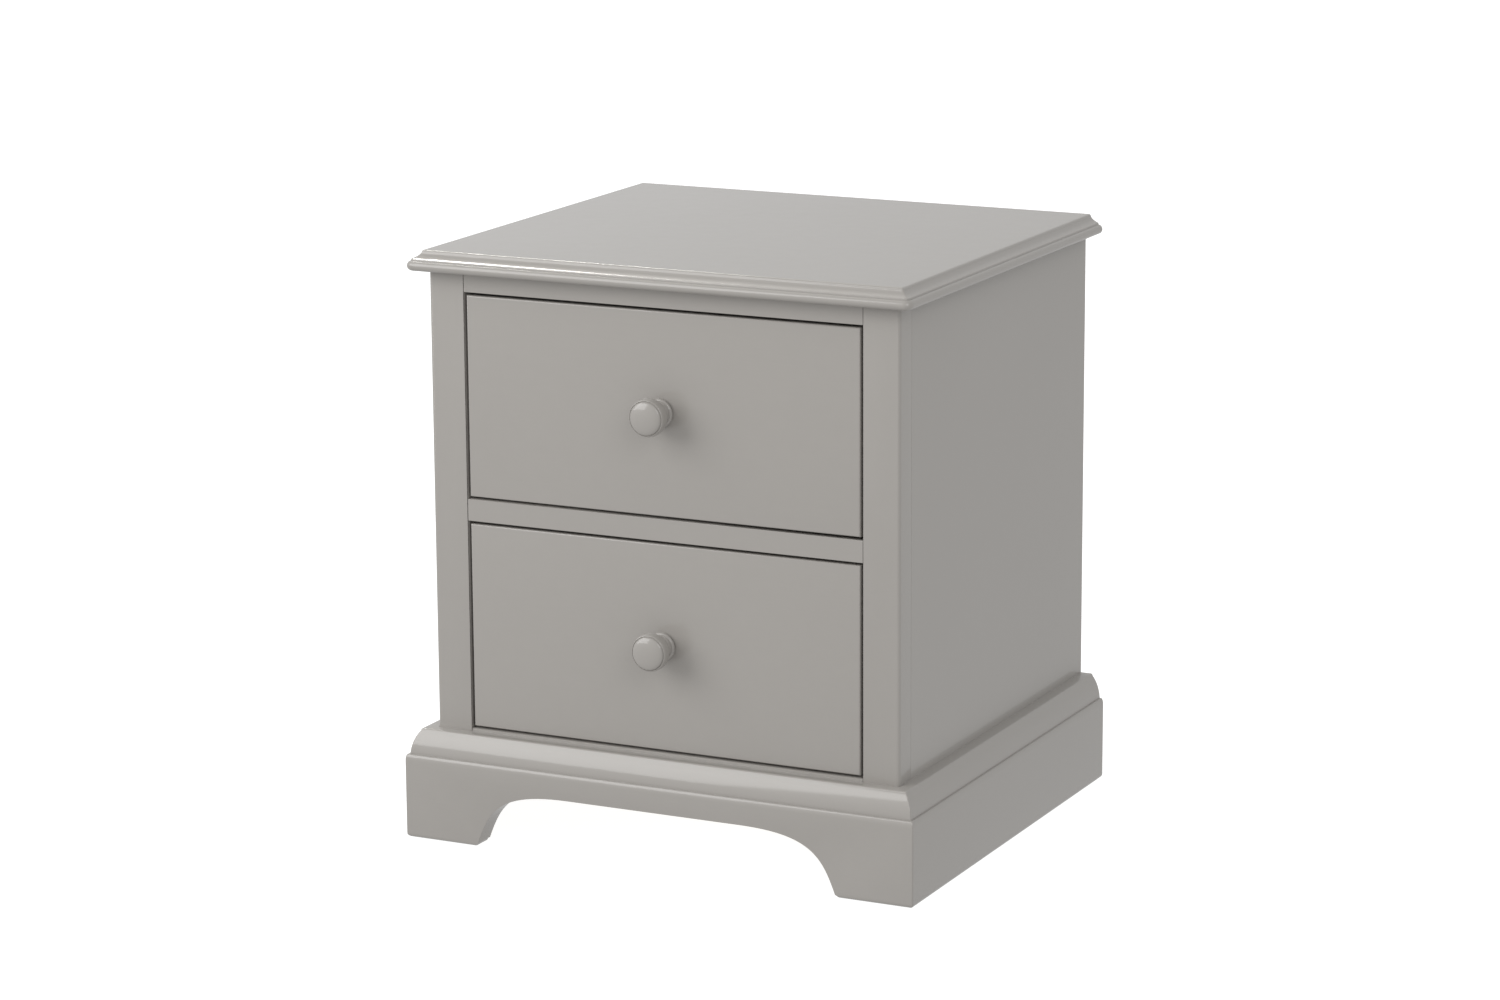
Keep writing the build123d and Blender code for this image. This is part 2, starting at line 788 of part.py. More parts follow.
def front_screw_places(base_z):
    """Screws from inside the box into the drawer's front."""
    low, high = box_levels(base_z)
    x = box_x - screw_inset
    y = box_front_y + box_board
    rise = drawer_bottom_rise + screw_inset / 2
    return [pointing(side * x, y, z, (0, -1, 0)) for z in (low + rise, high - rise) for side in (-1, 1)]


def front_screw(spare=0.0):
    """A screw that holds the drawer's front on its box, or with spare the hole that it fills."""
    return countersunk_screw(front_screw_length, front_screw_radius, front_screw_head, spare)


def holed_for_front(board, base_z):
    """The drawer's front or the box's front, with the holes of the knob's screw and of the front's screws."""
    board = bored(board, front_screw(screw_clearance), front_screw_places(base_z))
    knob_hole = shank_hole(knob_screw_length(), knob_screw_radius)
    return bored(board, knob_hole, [knob_screw_place(base_z)])


def drawer_boards(name, base_z):
    """The drawer's front, its box and its knob."""
    box_front, left_side, right_side, box_back, bottom = drawer_box(base_z)
    return {
        f"{name}_drawer_front": holed_for_front(drawer_front(base_z), base_z),
        f"{name}_drawer_box_front": holed_for_front(box_front, base_z),
        f"{name}_drawer_left_side": left_side,
        f"{name}_drawer_right_side": right_side,
        f"{name}_drawer_back": box_back,
        f"{name}_drawer_bottom": bottom,
        f"{name}_drawer_knob": knob(base_z),
    }


def drawer_hardware(name, base_z):
    """The drawer's screws and its slides' inner members."""
    middle_z = base_z + slide_rise
    knob_screw = pan_screw(knob_screw_length(), knob_screw_radius, knob_screw_head, knob_screw_head_height)
    slide_screw = pan_screw(
        drawer_slide_screw_length, slide_screw_radius, slide_screw_head, slide_screw_head / 2
    )
    right_screws = placed(slide_screw, drawer_screw_places(middle_z))
    right_member = drawer_member(middle_z)
    return {
        f"{name}_drawer_knob_screw": knob_screw_place(base_z) * knob_screw,
        f"{name}_drawer_front_screws": placed(front_screw(), front_screw_places(base_z)),
        f"{name}_left_slide_drawer_member": other_side(right_member),
        f"{name}_right_slide_drawer_member": right_member,
        f"{name}_drawer_slide_screws": Compound(children=[right_screws, other_side(right_screws)]),
    }


def slide_parts(name, base_z):
    """The spacers, fixed and middle members and ball cages of one drawer's two slides."""
    middle_z = base_z + slide_rise
    parts = {}
    makers = {
        "slide_spacer": slide_spacer,
        "slide_cabinet_member": cabinet_member,
        "slide_middle_member": middle_member,
    }
    for kind, maker in makers.items():
        right = maker(middle_z)
        parts[f"{name}_right_{kind}"] = right
        parts[f"{name}_left_{kind}"] = other_side(right)
    outer = ball_cage(middle_z, outer_cage_offset, outer_ball_offset, outer_track_half())
    inner = ball_cage(middle_z, inner_cage_offset, inner_ball_offset, inner_track_half())
    parts[f"{name}_outer_ball_cages"] = Compound(children=outer + [other_side(piece) for piece in outer])
    parts[f"{name}_inner_ball_cages"] = Compound(children=inner + [other_side(piece) for piece in inner])
    return parts


def moulded_parts():
    """The top and the three plinth boards."""
    top = moulded_block(top_section, top_reach, top_corner_radius, case_top_z)
    front, left, right = plinth_boards()
    side_hole = case_screw(plinth_side_screw_length, screw_clearance)
    right = bored(right, side_hole, plinth_side_screw_places())
    front_hole = case_screw(plinth_front_screw_length, screw_clearance)
    return {
        "top_panel": bored(top, case_screw(top_screw_length, screw_clearance), top_screw_places()),
        "plinth_front": bored(front, front_hole, plinth_front_screw_places()),
        "plinth_left": other_side(right),
        "plinth_right": right,
    }


def side_parts():
    """The side panels and the front posts."""
    spacer_hole = case_screw(spacer_screw_length, screw_clearance)
    plinth_hole = case_screw(plinth_side_screw_length, screw_clearance)
    panel = bored(side_panel(), spacer_hole, opening_spacer_screw_places())
    panel = bored(panel, plinth_hole, plinth_side_screw_places())
    post = front_post()
    return {
        "left_side_panel": other_side(panel),
        "right_side_panel": panel,
        "left_front_post": other_side(post),
        "right_front_post": post,
    }


def rail_parts():
    """The rails across the case, the bottom and the back."""
    top_hole = case_screw(top_screw_length, screw_clearance)
    front_hole = case_screw(plinth_front_screw_length, screw_clearance)
    pin_hole = countersunk_screw(pin_length, pin_radius, pin_head_radius, screw_clearance)
    lowest = bored(bottom_rail(), front_hole, plinth_front_screw_places())
    lowest = bored(lowest, screw_entry(), plinth_front_screw_places())
    front_top = front_rail(top_rail_z, case_top_z, top_rail_depth)
    back_top = bored(back_top_rail(), top_hole, top_screw_places())
    return {
        "front_top_rail": bored(front_top, top_hole, top_screw_places()),
        "front_middle_rail": front_rail(middle_rail_z, upper_opening_z, post_depth),
        "front_bottom_rail": lowest,
        "back_top_rail": bored(back_top, pin_hole, pin_places()),
        "back_panel": bored(back_panel(), pin_hole, pin_places()),
        "bottom_panel": bored(bottom_panel(), pin_hole, pin_places()),
    }


def foot_parts():
    """The corner blocks and the glides under them."""
    places = [Pos(x, y, 0) for x, y in block_centres()]
    return {
        "corner_blocks": placed(corner_block(), places),
        "floor_glides": placed(glide(), places),
    }


def case_screws():
    """The screws that hold the top, the plinth and the slide spacers."""
    top = placed(case_screw(top_screw_length), top_screw_places())
    front = placed(case_screw(plinth_front_screw_length), plinth_front_screw_places())
    spacer = placed(case_screw(spacer_screw_length), opening_spacer_screw_places())
    side = placed(case_screw(plinth_side_screw_length), plinth_side_screw_places())
    return Compound(children=[top, front, spacer, other_side(spacer), side, other_side(side)])


def cabinet_slide_screws():
    """The screws that hold the four cabinet members to their spacers."""
    screw = countersunk_screw(slide_screw_length, slide_screw_radius, slide_screw_head)
    lower, upper = (cabinet_screw_places(base_z + slide_rise) for base_z in opening_bases.values())
    right = placed(screw, lower + upper)
    return Compound(children=[right, other_side(right)])


def case_fasteners():
    """Every screw and pin that stays in the case."""
    return {
        "case_screws": case_screws(),
        "cabinet_slide_screws": cabinet_slide_screws(),
        "back_panel_pins": placed(countersunk_screw(pin_length, pin_radius, pin_head_radius), pin_places()),
    }


def main():
    os.makedirs("parts", exist_ok=True)
    parts = moulded_parts() | side_parts() | rail_parts() | foot_parts() | case_fasteners()
    for name, base_z in opening_bases.items():
        parts |= slide_parts(name, base_z) | drawer_boards(name, base_z) | drawer_hardware(name, base_z)
    for node, shape in parts.items():
        export_step(shape, f"parts/{node}.step")


main()
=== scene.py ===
import bmesh
import bpy
import json
import math
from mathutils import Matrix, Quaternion, Vector

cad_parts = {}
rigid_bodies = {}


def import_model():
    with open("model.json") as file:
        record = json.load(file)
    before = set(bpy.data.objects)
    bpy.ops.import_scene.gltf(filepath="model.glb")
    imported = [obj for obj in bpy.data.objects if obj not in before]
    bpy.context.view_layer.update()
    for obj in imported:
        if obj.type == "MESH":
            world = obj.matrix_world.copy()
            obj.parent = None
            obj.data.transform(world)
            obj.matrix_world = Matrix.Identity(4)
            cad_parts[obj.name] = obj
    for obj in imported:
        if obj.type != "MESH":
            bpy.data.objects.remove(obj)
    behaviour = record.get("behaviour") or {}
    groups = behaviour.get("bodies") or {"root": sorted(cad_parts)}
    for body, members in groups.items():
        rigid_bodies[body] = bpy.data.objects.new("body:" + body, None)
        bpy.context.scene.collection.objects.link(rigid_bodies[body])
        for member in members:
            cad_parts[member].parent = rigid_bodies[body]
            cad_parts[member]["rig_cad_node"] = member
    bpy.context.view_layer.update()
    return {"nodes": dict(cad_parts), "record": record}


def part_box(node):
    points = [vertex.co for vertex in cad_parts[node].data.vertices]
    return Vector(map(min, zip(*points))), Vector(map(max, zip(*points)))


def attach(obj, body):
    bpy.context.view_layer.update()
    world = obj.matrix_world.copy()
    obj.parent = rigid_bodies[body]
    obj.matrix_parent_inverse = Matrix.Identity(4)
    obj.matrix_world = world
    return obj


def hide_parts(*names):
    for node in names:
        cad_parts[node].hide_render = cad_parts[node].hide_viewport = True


# A grey lacquered nightstand with two drawers. Metres, in the frame's own axes: X to the right,
# the drawers face -Y, Z up.

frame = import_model()
nodes = frame["nodes"]
record = frame["record"]
body_of_node = {node: body for body, members in record["behaviour"]["bodies"].items() for node in members}
slot_of_node = {part["node"]: part["material_slot"] for part in record["subparts"]}

MM = 0.001
DRAWERS = ("lower", "upper")

# Places that the frame gives
side_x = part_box("right_side_panel")[1].x
front_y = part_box("front_middle_rail")[0].y
back_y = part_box("right_side_panel")[1].y

# The top's edge
top_arris_overhang = 5 * MM
top_arris_width = 2.4 * MM
top_arris_drop = 2.4 * MM
cove_low_angle = 232
cove_high_angle = 195
quirk_radius = 0.8 * MM
quirk_height = 1.7 * MM
quirk_set_back = 0.6 * MM
nose_out = 11.9 * MM
nose_radius = 4.5 * MM
nose_height = 8.9 * MM
nose_top_angle = 78
top_corner_radius = 8 * MM
top_least_corner = 1.8 * MM

# The plinth's section and its arch
plinth_flat = 12 * MM
plinth_flat_radius = 2 * MM
ovolo_width = 7.4 * MM
ovolo_height = 22 * MM
ovolo_low_angle = 8
ovolo_high_angle = 52
ledge_drop = 1 * MM
ledge_width = 1.4 * MM
ledge_round_height = 6 * MM
plinth_foot_radius = 4 * MM
plinth_corner_radius = 1.4 * MM
plinth_least_corner = 0.9 * MM
arch_crown = 46.9 * MM
foot_width = 74 * MM
arch_shoulder = 93 * MM
arch_shoulder_pull = 70 * MM
arch_lean = 12.4 * MM
arch_lean_height = 36 * MM
arch_foot_radius = 3 * MM
arch_ease = 0.7 * MM
arch_foot_bulge = 0.5 * MM

# Posts, drawers and knobs
post_corner_radius = 1.8 * MM
front_edge_radius = 1.6 * MM
front_back_ease = 0.3 * MM
knob_radius = 17 * MM
knob_projection = 32 * MM
knob_collar_radius = 13.3 * MM
knob_bead_radius = 2.2 * MM
knob_neck_radius = 10 * MM
knob_neck_height = 8.5 * MM
knob_neck_flare = 0.9 * MM
knob_head_flare = 3.6 * MM
knob_rim_start = 16 * MM
knob_rim_back = 4.5 * MM
knob_rim_end = 28 * MM
knob_rim_round = 4.2 * MM
knob_ring_radius = 15 * MM
knob_ring_width = 0.7 * MM
knob_ring_depth = 0.5 * MM
knob_turn_steps = 96

# Boards
painted_ease = 0.45 * MM
bare_ease = 0.6 * MM

# Steps of the round stretches
arc_steps = 8
corner_steps = 10

# Lengths below which two places count as one, and a cutter's reach past what it cuts
sliver = 0.01 * MM
overcut = 5 * MM

# The lacquer's two shades, the glow of the floor and the sky, and the lamps' watts
LACQUER_LIGHT = (163, 159, 154)
LACQUER_DARK = (157, 153, 148)
FLOOR_GLOW = 0.95
SKY_STRENGTH = 0.61
KEY_POWER = 91
FILL_POWER = 14
BACK_POWER = 24
lamp_aim = Vector((0, 0, 0.27))

# The camera: its place in metres, its lens in mm, and how far it is turned, dipped and rolled in degrees
camera_place = (1.75327, -3.60463, 1.20972)
camera_lens = 107.432
camera_turn = 26.0426
camera_dip = 12.8464
camera_roll = -0.3294


# Shader maths


class Value:
    """A number that a node gives out. Sums and products on it add Math nodes."""

    def __init__(self, finish, socket):
        self.finish = finish
        self.socket = socket

    def math(self, operation, first, second):
        return self.finish.node("ShaderNodeMath", {"operation": operation}, {0: first, 1: second})

    def __add__(self, other):
        return self.math("ADD", self, other)

    __radd__ = __add__

    def __sub__(self, other):
        return self.math("SUBTRACT", self, other)

    def __rsub__(self, other):
        return self.math("SUBTRACT", other, self)

    def __mul__(self, other):
        return self.math("MULTIPLY", self, other)

    __rmul__ = __mul__

    def __pow__(self, other):
        return self.math("POWER", self, other)


class Finish:
    """A material, and the nodes that its colour, roughness and relief are made with."""

    def __init__(self, name, **constants):
        self.material = bpy.data.materials.new(name)
        self.material.use_nodes = True
        self.tree = self.material.node_tree
        self.shader = self.tree.nodes["Principled BSDF"]
        for socket, value in constants.items():
            self.shader.inputs[socket.replace("_", " ").title().replace("Ior", "IOR")].default_value = value
        self.place = self.node("ShaderNodeTexCoord", output="Object")

    def node(self, kind, settings=None, sockets=None, output=0):
        """Adds a node: its settings first, then the values or links of its sockets."""
        made = self.tree.nodes.new(kind)
        for setting, value in (settings or {}).items():
            if setting == "stops":
                self.set_stops(made.color_ramp, value)
            else:
                setattr(made, setting, value)
        for socket, value in (sockets or {}).items():
            if isinstance(value, Value):
                self.tree.links.new(value.socket, made.inputs[socket])
            else:
                made.inputs[socket].default_value = value
        return Value(self, made.outputs[output])

    def set_stops(self, ramp, stops):
        """Gives a colour ramp its (position, colour) stops."""
        while len(ramp.elements) < len(stops):
            ramp.elements.new(1)
        for element, (position, colour) in zip(ramp.elements, stops):
            element.position = position
            element.color = (*colour, 1)

    def stretched(self, along, ratio, shift=(0, 0, 0)):
        """Object coordinates squeezed along one axis, so that a pattern on them is drawn out that way."""
        scale = [ratio if axis == along else 1 for axis in "XYZ"]
        sockets = {"Vector": self.place, "Scale": scale, "Location": shift}
        return self.node("ShaderNodeMapping", {}, sockets)

    def noise(self, size, detail=3, place=None, rough=0.5):
        """Noise from about 0 to 1 whose patches are as large as size."""
        sockets = {"Vector": place or self.place, "Scale": 1 / size, "Detail": detail, "Roughness": rough}
        return self.node("ShaderNodeTexNoise", {}, sockets)

    def smooth(self, value, low, high):
        """0 below low, 1 above high and a smooth step between them."""
        settings = {"interpolation_type": "SMOOTHSTEP"}
        return self.node("ShaderNodeMapRange", settings, {"Value": value, "From Min": low, "From Max": high})

    def mixed(self, share, first, second):
        """A colour between two others."""
        sockets = {"Factor": share, 6: first, 7: second}
        return self.node("ShaderNodeMix", {"data_type": "RGBA"}, sockets, 2)

    def set(self, socket, value):
        self.tree.links.new(value.socket, self.shader.inputs[socket])

    def relief(self, height, depth):
        """Bumps as deep as depth, in metres, where height goes from 0 to 1."""
        sockets = {"Height": height, "Distance": depth, "Strength": 1}
        self.set("Normal", self.node("ShaderNodeBump", {}, sockets))


def colour(red, green, blue):
    """A colour of the usual 0 to 255 screen values, as the light-linear values that shaders take."""
    shares = [value / 255 for value in (red, green, blue)]
    return [share / 12.92 if share <= 0.04045 else ((share + 0.055) / 1.055) ** 2.4 for share in shares]


# Finishes


def lacquer(along):
    """Warm grey satin lacquer, sprayed over wood whose grain runs along one axis and barely shows."""
    finish = Finish("grey_lacquer_" + along.lower(), coat_roughness=0.1, coat_ior=1.5)
    cloud = finish.noise(180 * MM, 2)
    mottle = finish.noise(14 * MM, 4)
    grain = finish.noise(1.6 * MM, 4, finish.stretched(along, 0.035), 0.6)
    pores = finish.smooth(finish.noise(0.5 * MM, 2, finish.stretched(along, 0.05)), 0.60, 0.78)
    peel = finish.noise(1.5 * MM, 1)
    shade = 0.35 * cloud + 0.35 * mottle + 0.3 * grain
    light = colour(*LACQUER_LIGHT)
    dark = colour(*LACQUER_DARK)
    finish.set("Base Color", finish.mixed(shade, (*dark, 1), (*light, 1)))
    finish.set("Roughness", 0.38 + 0.10 * mottle + 0.05 * grain + 0.04 * cloud)
    finish.set("Coat Weight", 0.84 + 0.16 * cloud)
    finish.relief(0.5 * peel + 0.35 * grain + 0.5 * mottle - 0.12 * pores, 0.035 * MM)
    return finish.material


def timber(name, along, dark, light, ring_size, rough=0.42, coat=0.0, relief=0.05):
    """Planed wood: yearly rings along one axis, pores drawn out the same way, a few darker streaks."""
    finish = Finish(f"{name}_{along.lower()}", coat_roughness=0.25)
    heart = {"X": (0, 0.09, 0.31), "Y": (0.12, 0, 0.33), "Z": (0.11, 0.29, 0)}[along]
    place = finish.stretched(along, 0.12, heart)
    rings = finish.node(
        "ShaderNodeTexWave",
        {"wave_type": "RINGS", "rings_direction": along, "wave_profile": "SAW"},
        {"Vector": place, "Scale": 0.32 / ring_size, "Distortion": 2.6, "Detail": 3, "Detail Scale": 1.4},
        1,
    )
    pores = finish.smooth(finish.noise(0.7 * MM, 3, finish.stretched(along, 0.03), 0.65), 0.50, 0.72)
    streak = finish.smooth(finish.noise(9 * MM, 3, finish.stretched(along, 0.04)), 0.52, 0.78)
    cloud = finish.noise(60 * MM, 3, finish.stretched(along, 0.3))
    base = finish.mixed(rings**1.6, (*colour(*light), 1), (*colour(*dark), 1))
    toned = finish.mixed(0.45 * streak + 0.18 * cloud, base, (*[0.82 * c for c in colour(*dark)], 1))
    finish.set("Base Color", finish.mixed(0.30 * pores, toned, (*[0.45 * c for c in colour(*dark)], 1)))
    finish.set("Roughness", rough + 0.12 * pores - 0.06 * rings)
    if coat:
        finish.set("Coat Weight", coat + 0.10 * cloud)
    finish.relief(0.5 * rings - 0.6 * pores, relief * MM)
    return finish.material


def fibreboard():
    """The back's hardboard, painted thinly, so that its fine felt shows."""
    finish = Finish("painted_back_board", specular_ior_level=0.35)
    felt = finish.noise(1.1 * MM, 5, rough=0.7)
    cloud = finish.noise(70 * MM, 3)
    tone = 0.5 * felt + 0.5 * cloud
    finish.set("Base Color", finish.mixed(tone, (*colour(128, 124, 118), 1), (*colour(146, 142, 136), 1)))
    finish.set("Roughness", 0.52 + 0.2 * felt)
    finish.relief(felt, 0.08 * MM)
    return finish.material


def rolled_zinc():
    """Zinc plated sheet, drawn along Y through its rollers, with clouded plating and a film of grease."""
    finish = Finish("rolled_zinc", metallic=1.0)
    draw = finish.noise(0.5 * MM, 3, finish.stretched("Y", 0.01), 0.7)
    cloud = finish.noise(16 * MM, 4)
    spots = finish.smooth(finish.noise(2.2 * MM, 3), 0.58, 0.7)
    tone = 0.4 * draw + 0.6 * cloud
    plated = finish.mixed(tone, (*colour(168, 171, 175), 1), (*colour(206, 208, 209), 1))
    finish.set("Base Color", finish.mixed(0.35 * spots, plated, (*colour(150, 148, 140), 1)))
    finish.set("Roughness", 0.24 + 0.16 * cloud + 0.10 * draw)
    finish.relief(0.7 * draw + 0.3 * cloud, 0.02 * MM)
    return finish.material


def bearing_steel():
    """Polished steel with a thin uneven film of grease."""
    finish = Finish("bearing_steel", metallic=1.0)
    film = finish.noise(5 * MM, 4)
    scratches = finish.smooth(finish.noise(0.35 * MM, 2, finish.stretched("Y", 0.02)), 0.6, 0.75)
    finish.set("Base Color", finish.mixed(film, (*colour(176, 174, 168), 1), (*colour(214, 214, 212), 1)))
    finish.set("Roughness", 0.12 + 0.18 * film + 0.1 * scratches)
    finish.relief(0.6 * film - 0.4 * scratches, 0.008 * MM)
    return finish.material


def plated_screw():
    """Bright zinc on a cold-forged screw, duller in patches."""
    finish = Finish("plated_screw", metallic=1.0)
    cloud = finish.noise(1.8 * MM, 4)
    finish.set("Base Color", finish.mixed(cloud, (*colour(160, 158, 150), 1), (*colour(208, 206, 198), 1)))
    finish.set("Roughness", 0.22 + 0.22 * cloud)
    finish.relief(cloud, 0.015 * MM)
    return finish.material


def nylon():
    """Dark moulded nylon with the fine grain of its mould."""
    finish = Finish("moulded_nylon", specular_ior_level=0.4)
    grain = finish.noise(0.4 * MM, 3)
    dust = finish.smooth(finish.noise(6 * MM, 4), 0.45, 0.75)
    finish.set("Base Color", finish.mixed(0.4 * dust, (*colour(62, 60, 58), 1), (*colour(120, 116, 110), 1)))
    finish.set("Roughness", 0.46 + 0.18 * grain + 0.12 * dust)
    finish.relief(grain, 0.03 * MM)
    return finish.material


finishes = {}


def grain_axis(node):
    """A board's grain runs along its longest side."""
    low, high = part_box(node)
    spans = list(high - low)
    return "XYZ"[spans.index(max(spans))]


def finish_for(node):
    """The finish of a node, made when it is first asked for."""
    slot = slot_of_node[node]
    along = grain_axis(node)
    makers = {
        "grey_lacquer": lambda: lacquer(along),
        "drawer_wood": lambda: timber(
            "drawer_maple", along, (203, 170, 126), (226, 199, 160), 5 * MM, rough=0.36, coat=0.25
        ),
        "drawer_plywood": lambda: timber(
            "birch_plywood", along, (208, 178, 138), (228, 204, 168), 11 * MM, rough=0.4, coat=0.15
        ),
        "raw_wood": lambda: timber(
            "raw_poplar", along, (178, 146, 104), (207, 180, 138), 7 * MM, rough=0.6, relief=0.09
        ),
        "back_board": fibreboard,
        "zinc_steel": rolled_zinc,
        "bearing_steel": bearing_steel,
        "zinc_screws": plated_screw,
        "glide_plastic": nylon,
    }
    grained = slot in ("grey_lacquer", "drawer_wood", "drawer_plywood", "raw_wood")
    key = (slot, along if grained else "")
    if key not in finishes:
        finishes[key] = makers[slot]()
    return finishes[key]


# Modelling by hand in edit mode


def only(piece):
    """Selects one object and nothing else."""
    bpy.ops.object.select_all(action="DESELECT")
    piece.select_set(True)
    bpy.context.view_layer.objects.active = piece


def open_mesh(piece):
    """Opens a piece in edit mode with nothing selected."""
    only(piece)
    bpy.ops.object.mode_set(mode="EDIT")
    bpy.ops.mesh.select_mode(type="VERT")
    bpy.ops.mesh.select_all(action="DESELECT")


def close_mesh():
    bpy.ops.object.mode_set(mode="OBJECT")


def select_vertices(piece, wanted):
    """In edit mode, selects the vertices that pass a test, and the edges and faces between them."""
    bpy.ops.mesh.select_mode(type="VERT")
    bpy.ops.mesh.select_all(action="DESELECT")
    mesh = bmesh.from_edit_mesh(piece.data)
    for vertex in mesh.verts:
        vertex.select = wanted(vertex)
    mesh.select_flush_mode()
    bmesh.update_edit_mesh(piece.data)


def select_edges(piece, wanted):
    """In edit mode, selects the edges that pass a test."""
    bpy.ops.mesh.select_mode(type="EDGE")
    bpy.ops.mesh.select_all(action="DESELECT")
    mesh = bmesh.from_edit_mesh(piece.data)
    for edge in mesh.edges:
        edge.select_set(wanted(edge))
    bmesh.update_edit_mesh(piece.data)


class Pen:
    """Draws lines of vertices in edit mode, in straight runs and round turns."""

    def __init__(self, name):
        bpy.ops.object.select_all(action="DESELECT")
        bpy.ops.mesh.primitive_plane_add(size=MM)
        self.piece = bpy.context.object
        self.piece.name = name
        self.piece.data.name = name
        open_mesh(self.piece)
        bpy.ops.mesh.select_all(action="SELECT")
        bpy.ops.mesh.delete(type="VERT")
        self.tip = Vector((0, 0, 0))

    def start(self, place):
        """Puts the pen down on a new vertex."""
        bpy.ops.mesh.select_all(action="DESELECT")
        bpy.ops.mesh.primitive_plane_add(size=MM, location=place)
        bpy.ops.mesh.merge(type="CENTER")
        self.tip = Vector(place)

    def run(self, place):
        """A straight run to a place."""
        step = Vector(place) - self.tip
        bpy.ops.mesh.extrude_region_move(TRANSFORM_OT_translate={"value": step})
        self.tip = Vector(place)

    def turn(self, centre, end, steps):
        """A quarter turn about an upright axis, to the right as the pen moves."""
        bpy.ops.mesh.spin(steps=steps, angle=math.radians(90), center=centre, axis=(0, 0, 1))
        self.tip = Vector(end)

    def line(self, places):
        """A whole line through the places."""
        self.start(places[0])
        for place in places[1:]:
            self.run(place)

    def count(self):
        return len(bmesh.from_edit_mesh(self.piece.data).verts)


def arc(centre, radii, start, end, steps=arc_steps):
    """Points on an elliptical arc between two angles in degrees, the first one left out."""
    turns = [math.radians(start + (end - start) * step / steps) for step in range(1, steps + 1)]
    return [(centre[0] + radii[0] * math.cos(turn), centre[1] + radii[1] * math.sin(turn)) for turn in turns]


def oval(start, end, low_angle, high_angle):
    """Points of an elliptical arc from start to end, which lie on it at two angles in degrees."""
    low = Vector((math.cos(math.radians(low_angle)), math.sin(math.radians(low_angle))))
    high = Vector((math.cos(math.radians(high_angle)), math.sin(math.radians(high_angle))))
    radii = ((end[0] - start[0]) / (high.x - low.x), (end[1] - start[1]) / (high.y - low.y))
    centre = (start[0] - radii[0] * low.x, start[1] - radii[1] * low.y)
    return arc(centre, radii, low_angle, high_angle)


def bowed(start, end, bulge, steps=arc_steps):
    """Points from start to end, the first one left out, bowed leftwards by bulge at the middle."""
    step_x = end[0] - start[0]
    step_y = end[1] - start[1]
    length = math.hypot(step_x, step_y)
    shares = [step / steps for step in range(1, steps + 1)]
    bows = [4 * bulge * share * (1 - share) / length for share in shares]
    return [
        (start[0] + share * step_x - bow * step_y, start[1] + share * step_y + bow * step_x)
        for share, bow in zip(shares, bows)
    ]


def finished(piece, node, smooth_below=32):
    """Gives a finished piece its shading, finish, slot and body, in place of the node that it stands for."""
    only(piece)
    bpy.ops.object.transform_apply(location=True, rotation=True, scale=True)
    bpy.ops.object.shade_smooth_by_angle(angle=math.radians(smooth_below))
    piece.data.materials.clear()
    piece.data.materials.append(finish_for(node))
    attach(piece, body_of_node[node])
    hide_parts(node)
    return piece


def tidy_normals():
    """In edit mode, merges doubles and turns every face outwards."""
    bpy.ops.mesh.select_all(action="SELECT")
    bpy.ops.mesh.remove_doubles(threshold=0.002 * MM)
    bpy.ops.mesh.normals_make_consistent(inside=False)


# Mouldings round the front and sides


def trace_round_case(pen, out, height, radius):
    """Draws one line of a moulding round the case from its right back corner to its left one."""
    x = side_x + out
    y = front_y - out
    pen.start((x, back_y, height))
    pen.run((x, y + radius, height))
    pen.turn((x - radius, y + radius, height), (x - radius, y, height), corner_steps)
    pen.run((radius - x, y, height))
    pen.turn((radius - x, y + radius, height), (-x, y + radius, height), corner_steps)
    pen.run((-x, back_y, height))


def moulding(name, section, corner_radius, least_radius, closed):
    """Lines round the case through a section of (outward, height) points, bridged into faces.

    The widest line turns its corners at corner_radius, and those inside it turn tighter, to least_radius.
    """
    reach = max(out for out, height in section)
    pen = Pen(name)
    starts = [0]
    for out, height in section:
        radius = max(least_radius, corner_radius - (reach - out))
        trace_round_case(pen, out, height, radius)
        starts.append(pen.count())
    pairs = list(zip(range(len(section)), range(1, len(section))))
    if closed:
        pairs.append((len(section) - 1, 0))
    for first, second in pairs:
        spans = [(starts[first], starts[first + 1]), (starts[second], starts[second + 1])]
        select_vertices(pen.piece, lambda vertex: any(low <= vertex.index < high for low, high in spans))
        bpy.ops.mesh.bridge_edge_loops()
    return pen.piece


def fill_where(piece, wanted):
    """In edit mode, fills the flat outline that the open edges which pass a test make."""
    select_edges(piece, lambda edge: edge.is_boundary and all(wanted(vertex.co) for vertex in edge.verts))
    bpy.ops.mesh.edge_face_add()


def top_section(low, high):
    """The top's edge from its underside up: a round nose, a fine step, a sloping cove and a round arris."""
    half = nose_height / 2
    quirk = (nose_out + quirk_set_back, low + nose_height + quirk_height)
    cove_top = high - top_arris_drop
    points = [(nose_out, low)]
    points += arc((nose_out, low + half), (nose_radius, half), -90, nose_top_angle, 2 * arc_steps)
    points.append((quirk[0], points[-1][1]))
    points += arc((quirk[0] - quirk_radius, quirk[1] - quirk_radius), (quirk_radius, quirk_radius), 0, 80, 4)
    points += oval(points[-1], (top_arris_overhang, cove_top), cove_low_angle, cove_high_angle)
    arris_centre = (top_arris_overhang - top_arris_width, cove_top)
    points += arc(arris_centre, (top_arris_width, top_arris_drop), 0, 90, 6)
    return points


def make_top():
    """The top: its moulded edge, filled above, below and behind."""
    low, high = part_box("top_panel")
    section = top_section(low.z, high.z)
    piece = moulding("top", section, top_corner_radius, top_least_corner, closed=False)
    fill_where(piece, lambda place: place.z > high.z - sliver)
    fill_where(piece, lambda place: place.z < low.z + sliver)
    fill_where(piece, lambda place: place.y > back_y - sliver)
    tidy_normals()
    close_mesh()
    return finished(piece, "top_panel")


